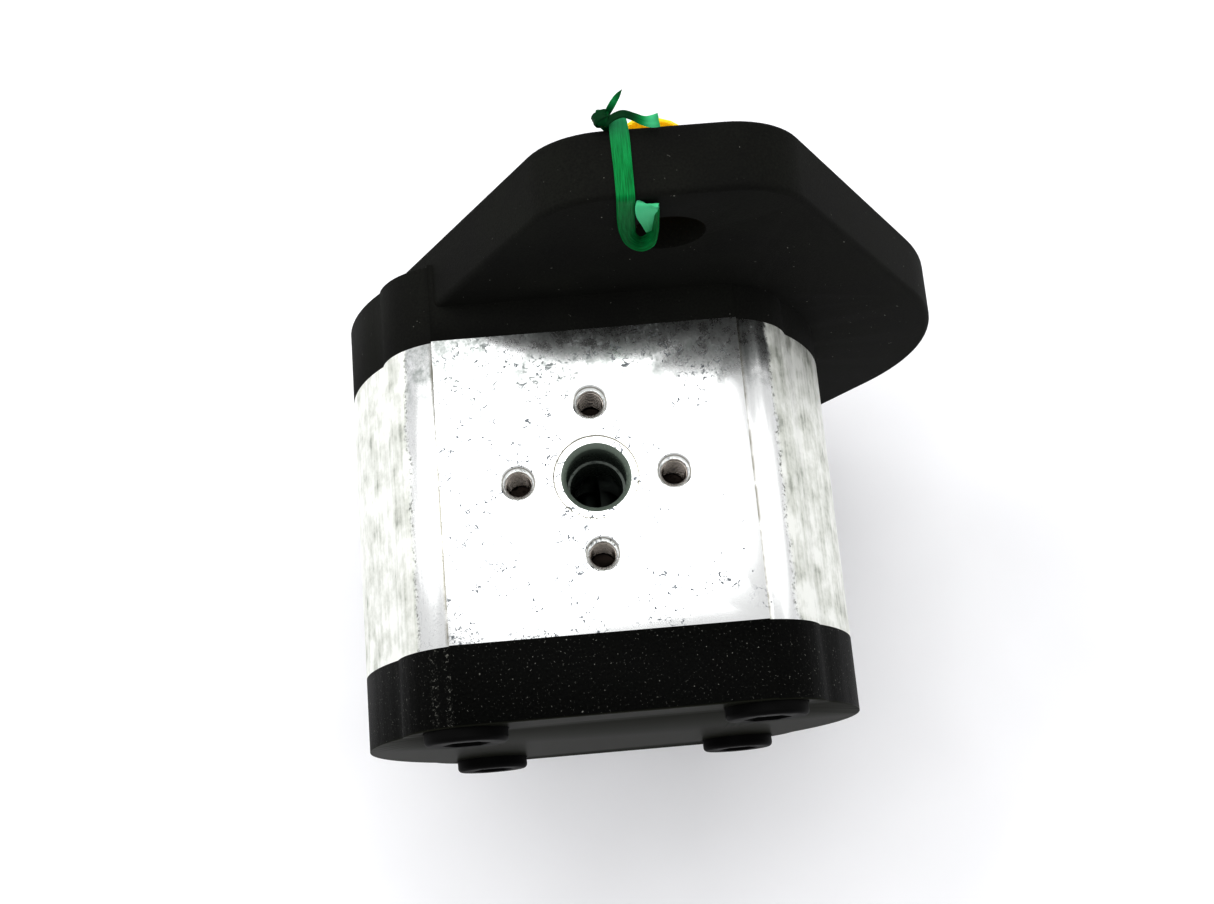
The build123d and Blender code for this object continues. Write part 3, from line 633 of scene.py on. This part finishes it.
def makeThread(name, x, y, face, side, radius, look):
    # one helical ridge standing in from the tapped hole's wall, fading at both ends
    steps = 36
    turns = (look["depth"] - look["start"]) / look["pitch"]
    # ridge's corners: mm out from the wall, pitches along the hole
    profile = [(0.02, -0.42), (-look["ridge"], -0.06), (-look["ridge"], 0.06), (0.02, 0.42)]
    vertices, faces = [], []
    count = int(turns * steps)
    for i in range(count + 1):
        angle = i / steps * 2 * math.pi
        fade = min(1, i / steps, (count - i) / steps)
        down = look["start"] + i / steps * look["pitch"]
        for inward, lift in profile:
            r = radius + (inward * max(fade, 0.02)) * mm
            z = face - side * (down + lift * look["pitch"]) * mm
            vertices.append((x + r * math.cos(angle), y + r * math.sin(angle), z))
    for i in range(count):
        a, b = 4 * i, 4 * i + 4
        faces += [(a + k, a + k + 1, b + k + 1, b + k) for k in range(3)]
        faces.append((a + 3, a, b, b + 3))
    faces += [(3, 2, 1, 0), tuple(4 * count + k for k in range(4))]
    meshObject(name, vertices, faces, plain["tappedAluminiumThread"])


for patternName, look in threads.items():
    pattern = mounts[patternName]
    dims = pattern["dims"]
    side = pattern["axis"][2]
    face = housingHigh.z if side > 0 else housingLow.z
    circle = dims["pcd_mm"] / 2 * mm
    for turn in range(dims["count"]):
        angle = turn * math.pi / 2
        x = pattern["pos_m"][0] + circle * math.cos(angle)
        y = pattern["pos_m"][1] + circle * math.sin(angle)
        makeThread(f"{look['piece']}_{turn + 1}", x, y, face, side, dims["hole_r_mm"] * mm, look)
print("threads cut in", sum(mounts[n]["dims"]["count"] for n in threads), "tapped holes")


def smoothLine(stations, steps):
    # Catmull-Rom through rows of numbers
    rows = [Vector(s) for s in stations]
    rows = [2 * rows[0] - rows[1]] + rows + [2 * rows[-1] - rows[-2]]
    line = []
    for i in range(1, len(rows) - 2):
        a, b, c, d = rows[i - 1:i + 3]
        square = 2 * a - 5 * b + 4 * c - d
        cube = 3 * b - 3 * c + d - a
        for k in range(steps):
            t = k / steps
            line.append(0.5 * (2 * b + (c - a) * t + square * t * t + cube * t ** 3))
    return line + [rows[-2]]


def makeBand(name, stations, ripple, seed, steps=10, lanes=12):
    # flat ribbon, in mm: each station is place, direction across, width and painted shading, which is 1 for
    # a pale painted highlight where light falls and -1 for dark painted shade; ripple is the height of its
    # long lines
    thickness = ribbon["thickness"]
    rng = random.Random(seed)
    places = smoothLine([s[0] for s in stations], steps)
    acrosses = smoothLine([s[1] for s in stations], steps)
    widths = smoothLine([(s[2], 0, 0) for s in stations], steps)
    paintedShadings = smoothLine([(s[3] if len(s) > 3 else 0, 0, 0) for s in stations], steps)
    heights = [rng.uniform(-1, 1) * ripple for _ in range(lanes + 1)]
    vertices, faces, laneValues, lengthValues, shadingValues = [], [], [], [], []
    travelled = 0.0
    for i, centre in enumerate(places):
        ahead = places[min(i + 1, len(places) - 1)] - places[max(i - 1, 0)]
        ahead.normalize()
        across = acrosses[i] - ahead * acrosses[i].dot(ahead)
        across.normalize()
        out = ahead.cross(across)
        travelled += (centre - places[max(i - 1, 0)]).length
        for side in (1, -1):
            for lane in range(lanes + 1):
                t = lane / lanes - 0.5
                rounded = math.sqrt(max(0.0, 1 - (2 * t) ** 6))
                crown = ribbon["crown"] * (1 - 4 * t * t)
                lift = side * thickness / 2 * rounded + heights[lane] + crown
                vertices.append((centre + across * t * widths[i].x + out * lift) * mm)
                laneValues.append(lane / lanes * ribbon["lineCount"])
                lengthValues.append(travelled * ribbon["lineDrift"])
                shadingValues.append(paintedShadings[i].x)
    ring = 2 * (lanes + 1)
    for i in range(len(places) - 1):
        a, b = i * ring, (i + 1) * ring
        for lane in range(lanes):
            faces.append((a + lane, a + lane + 1, b + lane + 1, b + lane))
            under = lanes + 1 + lane
            faces.append((a + under + 1, a + under, b + under, b + under + 1))
        for lane in (0, lanes):
            faces.append((a + lane, b + lane, b + lane + lanes + 1, a + lane + lanes + 1))
    for a in (0, (len(places) - 1) * ring):
        for lane in range(lanes):
            faces.append((a + lane, a + lane + 1, a + lane + lanes + 2, a + lane + lanes + 1))
    band = meshObject(name, vertices, faces, ribbonPlastic)
    for key, values in (("across", laneValues), ("along", lengthValues), ("strain", shadingValues)):
        attribute = band.data.attributes.new(key, "FLOAT", "POINT")
        attribute.data.foreach_set("value", values)
    return band


# in mm, apart from the last two, which set how many lines cross the film and how slowly they change along it
ribbon = {"thickness": 0.22, "ripple": 0.03, "crown": 0.025, "lineCount": 4, "lineDrift": 0.06}
rim = flangeHigh.z / mm          # top of the flange's rim
back = -13.0                     # rear face of the flange's plate, from the mounting face
strapX = ribbonLow.x / mm + 1.6  # middle of the strand that goes over the rim

# over the rim, down the rear face, round the hanging turn, folded over and back through the hole
# the last number at a station is its painted shading: pale where the ribbon faces the light, dark where it
# lies in shade
strapRoute = [
    ((strapX - 0.3, 1.7, rim + 1.2), (1, 0, 0), 2.8, 0.6),
    ((strapX - 0.15, 0.3, rim + 0.7), (1, 0, 0), 3.2, 0.4),
    ((strapX - 0.05, -2.0, rim + 0.3), (1, 0, 0), 3.4, 0.1),
    ((strapX, -7.0, rim + 0.3), (1, 0, 0), 3.3),
    ((strapX, -11.6, rim + 0.3), (1, 0, 0), 3.25),
    ((strapX, back - 0.2, rim - 0.3), (1, 0, 0), 3.25, -0.05),
    ((strapX + 0.03, back - 0.3, rim - 3.5), (1, 0, 0), 3.25, -0.1),
    ((strapX + 0.15, back - 0.3, rim - 9.6), (1, 0.1, 0), 3.2, -0.35),
    ((strapX + 0.45, back - 0.5, rim - 13.4), (0.92, 0.35, 0.1), 3.1, -0.4),
    ((strapX + 1.2, back - 0.8, rim - 16.8), (0.62, 0.76, 0.2), 2.9, -0.4),
    ((strapX + 2.9, back - 1.1, rim - 18.6), (-0.1, 0.95, 0.25), 2.7, -0.3),
    ((strapX + 4.6, back - 1.2, rim - 16.4), (-0.42, 0.9, 0.1), 2.7, -0.15),
    ((strapX + 5.1, back - 1.2, rim - 11.0), (-0.42, 0.9, 0), 2.8, -0.4),
    ((strapX + 4.8, back - 0.75, rim - 7.0), (-0.75, 0.65, 0), 2.7, -0.35),
    ((strapX + 4.2, back - 0.45, rim - 3.6), (-1, 0.15, 0), 3.3, 0.1),
    ((strapX + 3.75, back - 0.75, rim - 2.1), (-1, 0, 0.06), 4.0, 0.9),
    ((strapX + 3.6, back - 1.15, rim - 3.1), (-1, 0, 0.06), 4.1, 1.0),
    ((strapX + 3.6, back - 1.15, rim - 6.0), (-1, -0.1, 0), 3.5, 0.9),
    ((strapX + 3.95, back - 1.05, rim - 10.0), (-0.98, -0.15, 0), 2.2, 0.6),
    ((strapX + 4.3, back - 0.75, rim - 13.8), (-0.9, -0.3, -0.1), 1.2, 0.2),
    ((strapX + 4.4, back + 2.0, rim - 15.6), (-1, 0, -0.2), 2.2, -0.5),
    ((strapX + 4.3, back + 7.0, rim - 17.0), (-1, 0, -0.3), 3.0, -0.6),
    ((strapX + 4.0, back + 12.2, rim - 16.0), (-1, 0, -0.3), 3.1, -0.4),
    ((strapX + 3.4, 0.55, rim - 12.5), (-1, 0, -0.1), 3.2),
    ((strapX + 1.6, 0.5, rim - 7.0), (-1, 0, -0.2), 3.2),
    ((strapX - 1.2, 0.6, rim - 1.5), (-1, 0, -0.4), 3.0, -0.3),
    ((strapX - 2.6, 0.9, rim + 1.4), (-0.8, -0.5, -0.3), 2.4, -0.8),
]
strap = makeBand("ribbon_strap", strapRoute, ripple=ribbon["ripple"], seed=3)
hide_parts("tie_ribbon")

knotCentre = Vector((strapX - 2.9, 1.0, rim + 2.0))


def makeKnotLoop(name, tilt, radius, width, strain, seed):
    # one turn of ribbon drawn tight round the knot, opening slightly as it goes
    stations = []
    for step in range(11):
        share = step / 10
        angle = share * 1.9 * math.pi
        swing = Vector((math.sin(tilt) * math.cos(angle), math.cos(tilt) * math.cos(angle), math.sin(angle)))
        place = knotCentre + swing * radius * (1 + 0.06 * share)
        stations.append((place, (math.cos(tilt), -math.sin(tilt), 0.2 * math.sin(angle)), width, strain))
    return makeBand(name, stations, ripple=0.05, seed=seed, steps=5, lanes=8)


# the knot's turns are dark with painted shade
knot = makeKnotLoop("knot_turn_1", tilt=0.25, radius=1.2, width=2.3, strain=-0.75, seed=5)
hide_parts("ribbon_knot")
makeKnotLoop("knot_turn_2", tilt=1.25, radius=1.5, width=1.8, strain=-0.9, seed=8)
# pointed tail that stands up, twisted to its edge, mostly in painted shade
makeBand("knot_tail_up", [
    (knotCentre + Vector((0.9, 0.5, 0.2)), (0.9, -0.3, -0.1), 1.0, -0.8),
    (knotCentre + Vector((1.5, 0.8, 1.8)), (0.85, -0.45, -0.1), 1.15, -0.6),
    (knotCentre + Vector((2.2, 1.2, 3.4)), (0.85, -0.5, 0), 1.1, 0.1),
    (knotCentre + Vector((2.9, 1.5, 4.9)), (0.8, -0.6, 0), 0.8, -0.4),
    (knotCentre + Vector((3.5, 1.7, 6.2)), (0.8, -0.6, 0), 0.12, -0.7),
], ripple=0.02, seed=13, steps=6, lanes=6)
# flat tail that arches over the strap and flares at its cut end: painted shade on the arch, a painted
# highlight on the flared end
makeBand("knot_tail_side", [
    (knotCentre + Vector((0.6, -1.4, 0.6)), (-0.5, 0.8, 0.1), 1.1, -0.9),
    (knotCentre + Vector((1.9, -0.7, 1.3)), (-0.4, 0.9, 0.1), 1.3, -0.9),
    (knotCentre + Vector((3.6, -0.3, 1.5)), (0, 1, 0.1), 1.4, -0.9),
    (knotCentre + Vector((5.4, -0.7, 0.9)), (0.1, 1, 0.3), 1.4, -0.8),
    (knotCentre + Vector((7.0, -1.3, 0.4)), (0.1, 0.9, 0.5), 1.6, 0.1),
    (knotCentre + Vector((8.4, -1.5, 0.3)), (0.15, 0.85, 0.5), 2.1, 0.7),
    (knotCentre + Vector((9.7, -1.4, 0.4)), (0.2, 0.8, 0.5), 2.4, 0.4),
], ripple=0.04, seed=21, steps=6, lanes=8)

# in mm
tag = {
    "hole": 2.0, "holeDrop": 7.5, "holeAside": 1.2, "bow": 0.25, "spacing": 1.0, "edge": 0.1,
    # clipped corners, each as the distance in from the side and down from the top
    "left": [(0, 13.0), (9.0, 0.5)], "right": [(7.2, 0.3), (4.4, 2.2), (1.8, 5.6), (0, 9.5)],
}


def makeTag():
    # thin blank card with clipped top corners and a punched hole, slightly bowed
    width = (tagHigh.x - tagLow.x) / mm
    height = (tagHigh.z - tagLow.z) / mm
    middle = (tagLow + tagHigh) / 2
    half = width / 2
    outline = [(-half + inward, height - down) for inward, down in tag["left"]]
    outline += [(half - inward, height - down) for inward, down in tag["right"]]
    outline = [(-half, 0), (half, 0)] + outline[::-1]
    border = []
    for (x0, z0), (x1, z1) in zip(outline, outline[1:] + outline[:1]):
        pieces = max(1, round(math.hypot(x1 - x0, z1 - z0) / tag["spacing"]))
        border += [(x0 + (x1 - x0) * k / pieces, z0 + (z1 - z0) * k / pieces) for k in range(pieces)]
    hole = (strapX - tag["holeAside"] - middle.x / mm, height - tag["holeDrop"])
    # rings of points from the hole's edge out to the border, closer together at the hole
    rings = []
    for k in range(9):
        share = (k / 8) ** 1.3
        ring = []
        for x, z in border:
            angle = math.atan2(z - hole[1], x - hole[0])
            inner = (hole[0] + tag["hole"] * math.cos(angle), hole[1] + tag["hole"] * math.sin(angle))
            ring.append((inner[0] + (x - inner[0]) * share, inner[1] + (z - inner[1]) * share))
        rings.append(ring)
    count = len(border)
    vertices, faces = [], []
    for side in (0, 1):
        for ring in rings:
            for x, z in ring:
                bow = tag["bow"] * (math.cos(math.pi * (z / height - 0.5)) - 0.5)
                y = (tagLow.y, tagHigh.y)[side] + bow * mm
                vertices.append((middle.x + x * mm, y, tagLow.z + z * mm))
    layer = count * len(rings)
    for side in (0, 1):
        for r in range(len(rings) - 1):
            for k in range(count):
                a = side * layer + r * count + k
                b = side * layer + r * count + (k + 1) % count
                quad = (a, b, b + count, a + count)
                faces.append(quad if side else quad[::-1])
    for edge in (0, len(rings) - 1):
        for k in range(count):
            a, b = edge * count + k, edge * count + (k + 1) % count
            faces.append((a, b, b + layer, a + layer))
    card = meshObject("blank_tag", vertices, faces, tagCard, smooth=False)
    bevel = card.modifiers.new("softEdge", "BEVEL")
    bevel.width = tag["edge"] * mm
    bevel.segments = 2
    bevel.limit_method = "ANGLE"
    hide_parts("name_tag")


makeTag()
print("ribbon, knot and tag made")


table = {
    "tones": [(0.3, "#e9e9eb"), (0.7, "#efeff1")], "half": 4.0, "roughness": 0.8, "specular": 0.2,
    "threadScale": 90.0, "threadDepth": 0.1, "cloud": 60,
}


def makeTable():
    # Washed cotton cloth: matt near-white, threads drawn 3.5 mm apart so that they show at all
    material, tree, place = newMaterial("paleTableCloth")
    weave = addNode(tree, "TexWave", {"Scale": table["threadScale"], "Distortion": 0.4}, {"Vector": place})
    soft = addNode(tree, "TexNoise", {"Scale": perMm(table["cloud"]), "Detail": 2}, {"Vector": place})
    bump = addNode(
        tree, "Bump", {"Strength": 0.05, "Distance": table["threadDepth"] * mm},
        {"Height": weave.outputs["Fac"]},
    )
    tone = addNode(tree, "ValToRGB", {"stops": table["tones"]}, {0: soft})
    finishMaterial(
        tree, {"Roughness": table["roughness"], "Specular IOR Level": table["specular"]},
        {"Base Color": tone, "Normal": bump},
    )
    half = table["half"]
    mesh = bpy.data.meshes.new("table_top")
    corners = [(x * half, y * half, cadLow.z) for x, y in ((-1, -1), (1, -1), (1, 1), (-1, 1))]
    mesh.from_pydata(corners, [], [(0, 1, 2, 3)])
    mesh.materials.append(material)
    top = bpy.data.objects.new("table_top", mesh)
    scene.collection.objects.link(top)


# places are in metres from the body's middle
lights = {
    "overheadSoftbox": {"from": (-0.1, 0.42, 1.25), "size": 1.3, "watts": 12.5},
    "leftSoftbox": {"from": (-1.0, 0.35, 0.7), "size": 0.8, "watts": 3.5},
    "rightSoftbox": {"from": (1.1, 0.1, 0.6), "size": 0.8, "watts": 1.6},
}
worldStrength = 0.78


def makeLights():
    for name, look in lights.items():
        data = bpy.data.lights.new(name, "AREA")
        data.shape = "SQUARE"
        data.size = look["size"]
        data.energy = look["watts"]
        lamp = bpy.data.objects.new(name, data)
        lamp.location = bodyCentre + Vector(look["from"])
        lamp.rotation_euler = (-Vector(look["from"])).to_track_quat("-Z", "Y").to_euler()
        scene.collection.objects.link(lamp)
    world = bpy.data.worlds.new("studioWorld")
    world.use_nodes = True
    background = world.node_tree.nodes["Background"]
    background.inputs["Color"].default_value = (1, 1, 1, 1)
    background.inputs["Strength"].default_value = worldStrength
    scene.world = world


# degrees and mm; the aim is measured from the middle of the housing's top
view = {
    "azimuth": -4.91, "elevation": 74.77, "distance": 303.1, "aim": (2.44, 4.68, 0.0),
    "lens": 46.8, "sensor": 36, "gamma": 0.8,
}


def makeCamera():
    data = bpy.data.cameras.new("workCamera")
    data.lens = view["lens"]
    data.sensor_width = view["sensor"]
    data.clip_start = 10 * mm
    data.clip_end = 50
    camera = bpy.data.objects.new("workCamera", data)
    azimuth = math.radians(view["azimuth"])
    elevation = math.radians(view["elevation"])
    level = math.cos(elevation)
    towards = Vector((math.sin(azimuth) * level, -math.cos(azimuth) * level, math.sin(elevation)))
    aim = Vector((bodyCentre.x, bodyCentre.y, housingHigh.z)) + Vector(view["aim"]) * mm
    camera.location = aim + towards * view["distance"] * mm
    camera.rotation_euler = (-towards).to_track_quat("-Z", "Y").to_euler()
    scene.collection.objects.link(camera)
    scene.camera = camera


makeTable()
makeLights()
makeCamera()
for name, width in edgeBreaks.items():
    breakEdges(name, width)
scene.view_settings.view_transform = "Standard"
scene.view_settings.look = "None"
scene.view_settings.gamma = view["gamma"]
print("table, lights and camera placed")
